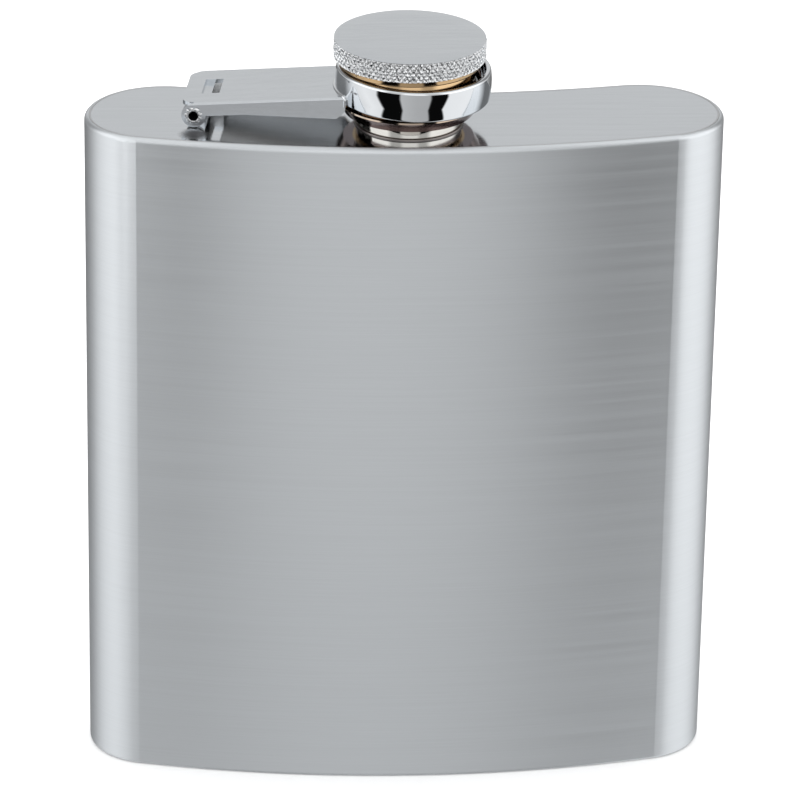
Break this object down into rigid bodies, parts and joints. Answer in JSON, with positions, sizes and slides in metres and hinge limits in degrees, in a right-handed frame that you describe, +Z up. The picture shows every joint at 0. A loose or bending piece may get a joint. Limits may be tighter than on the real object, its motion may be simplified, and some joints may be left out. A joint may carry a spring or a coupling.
{
  "type": "hip flask",
  "caption": "Kidney-plan steel hip flask with a knurled screw cap that turns in a ring on a hinged captive arm.",
  "frame": {"origin": "on the base plane, at mid width and mid thickness of the bottle", "axes": "+Z up through the neck, +X along the width, the hinge at -X; the convex front faces -Y and the concave back +Y"},
  "size_m": [0.092, 0.0258, 0.1137],
  "materials": {
    "brushed_body": "brushed sideways on the wall, fine satin on the plates",
    "brushed_arm": "fine brushed",
    "polished_ring": "mirror polished",
    "polished_neck": "bright turned",
    "rivet": "bright",
    "knurled_cap": "fine brushed top, bright knurled rim",
    "polished_liner": "bright turned",
    "seal": "matt silicone"
  },
  "bodies": {
    "flask": {"body_wall": "brushed_body", "top_plate": "brushed_body", "bottom_plate": "brushed_body", "neck": "polished_neck", "hinge_bracket": "rivet", "hinge_pin": "rivet"},
    "arm": {"captive_arm": "brushed_arm", "cap_ring": "polished_ring"},
    "cap": {"cap_head": "knurled_cap", "cap_liner": "polished_liner", "cap_retainer": "polished_liner", "cap_seal": "seal"}
  },
  "joints": [
    {"name": "arm_hinge", "type": "hinge", "parent": "flask", "child": "arm", "pos_m": [-0.02952, 0.0041, 0.1027], "axis": [-0.1357, -0.9907, 0], "range_deg": [0, 92]},
    {"name": "cap_turn", "type": "hinge", "parent": "arm", "child": "cap", "pos_m": [0.0004, 0, 0.1075], "axis": [0, 0, 1], "continuous": true}
  ]
}
